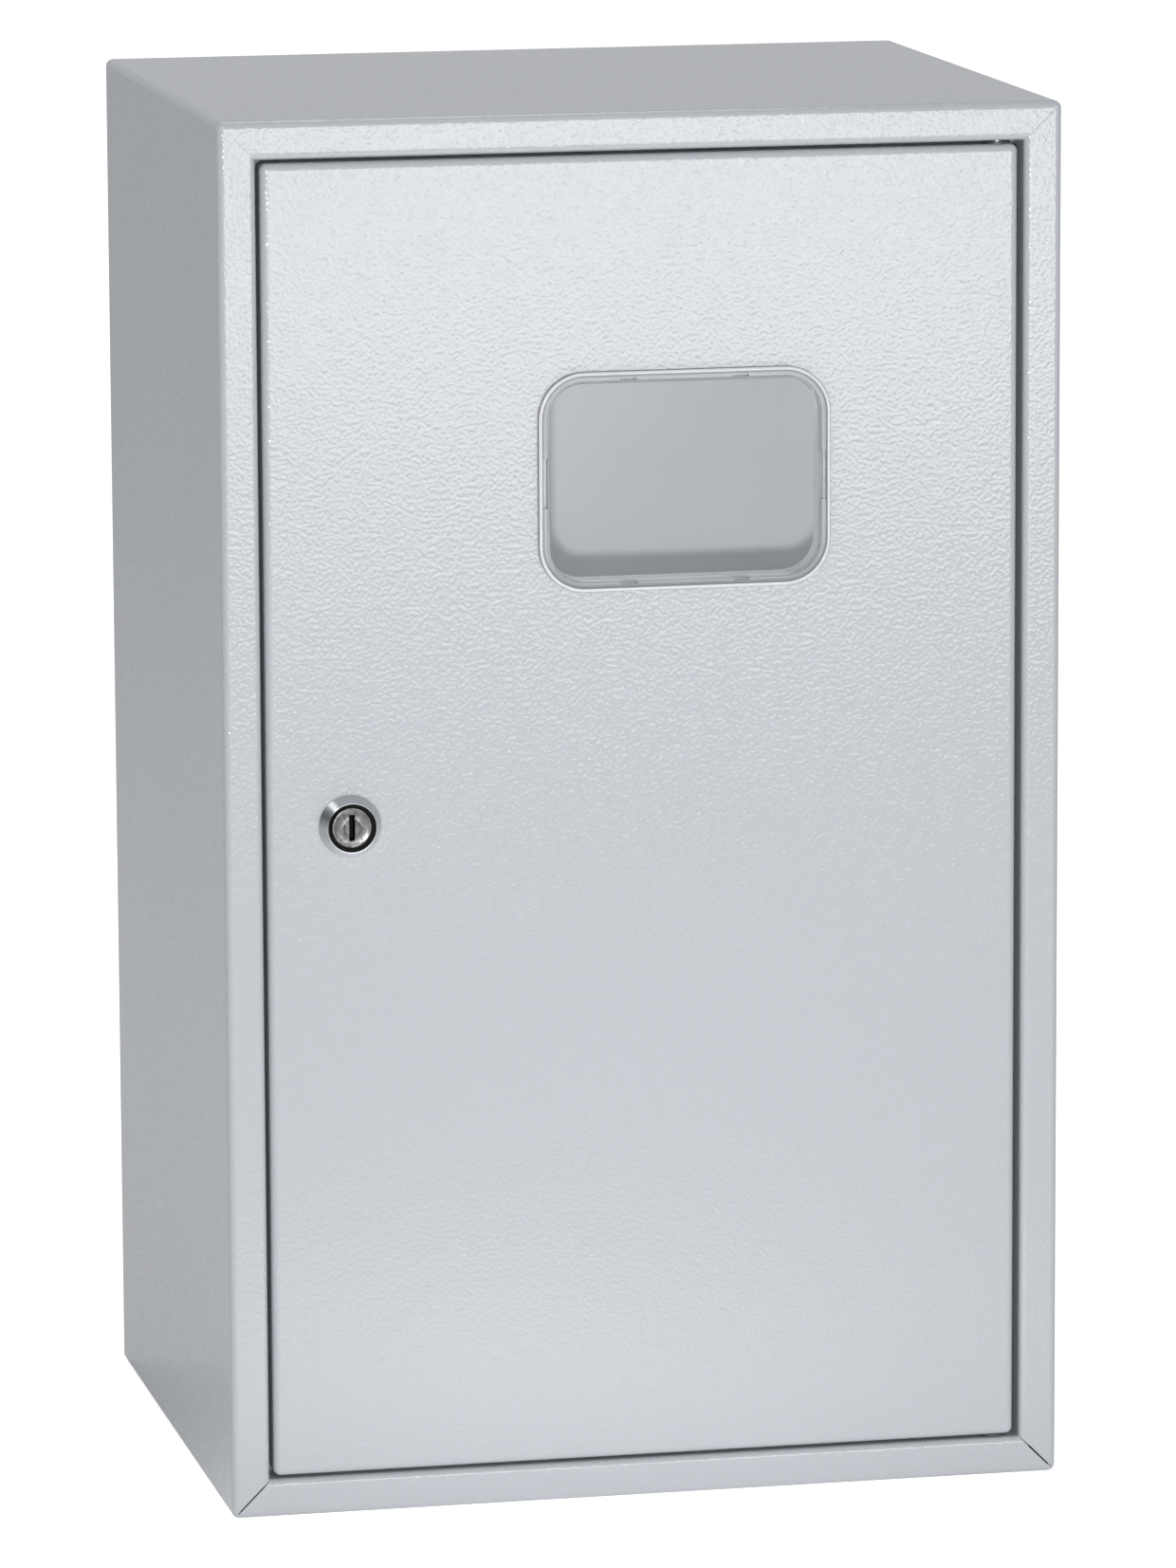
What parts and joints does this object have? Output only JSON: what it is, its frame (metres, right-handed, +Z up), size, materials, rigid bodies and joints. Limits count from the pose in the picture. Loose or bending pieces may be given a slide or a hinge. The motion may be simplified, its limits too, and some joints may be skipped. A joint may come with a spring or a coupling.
{
  "type": "electrical enclosure",
  "caption": "Wall-mounted sheet-steel electrical enclosure with a flush hinged door, a clear inspection window, a cam lock and a removable cable-entry plate.",
  "frame": {"origin": "centre of the four wall holes, on the face that lies against the wall", "axes": "+X to the right and +Z up for someone facing the door, +Y back to the wall"},
  "size_m": [0.31, 0.255, 0.51],
  "materials": {
    "powder_coat": "light grey textured powder coat",
    "galvanised_steel": "galvanised sheet",
    "zinc_plate": "bright zinc plate",
    "lock_chrome": "polished chrome plate",
    "lock_nickel": "worn nickel plate",
    "clear_window": "clear polycarbonate",
    "seal_foam": "foamed seal",
    "bush_nylon": "nylon"
  },
  "bodies": {
    "housing": {"housing_wrap": "powder_coat", "back_panel": "powder_coat", "mounting_plate": "powder_coat", "plate_studs": "zinc_plate", "plate_spacers": "zinc_plate", "plate_washers": "zinc_plate", "plate_nuts": "zinc_plate", "entry_seal": "seal_foam", "entry_plate": "powder_coat", "entry_studs": "zinc_plate", "entry_nuts": "zinc_plate", "earth_stud": "zinc_plate", "earth_washer": "zinc_plate", "earth_nut": "zinc_plate", "hinge_plate_upper": "galvanised_steel", "hinge_plate_lower": "galvanised_steel", "hinge_pin_upper": "zinc_plate", "hinge_pin_lower": "zinc_plate"},
    "door": {"door_panel": "powder_coat", "door_seal": "seal_foam", "window_pane": "clear_window", "hinge_bush_upper": "bush_nylon", "hinge_bush_lower": "bush_nylon", "lock_barrel": "lock_chrome", "lock_washer": "zinc_plate", "lock_nut": "zinc_plate", "door_earth_stud": "zinc_plate", "door_earth_washer": "zinc_plate", "door_earth_nut": "zinc_plate"},
    "lock": {"lock_plug": "lock_nickel", "lock_cam": "zinc_plate", "cam_washer": "zinc_plate", "cam_screw": "zinc_plate"}
  },
  "joints": [
    {"name": "door_swing", "type": "hinge", "parent": "housing", "child": "door", "pos_m": [0.1321, -0.2435, 0], "axis": [0, 0, 1], "range_deg": [0, 110]},
    {"name": "lock_turn", "type": "hinge", "parent": "door", "child": "lock", "pos_m": [-0.1093, -0.25, 0], "axis": [0, -1, 0], "range_deg": [0, 90]}
  ]
}
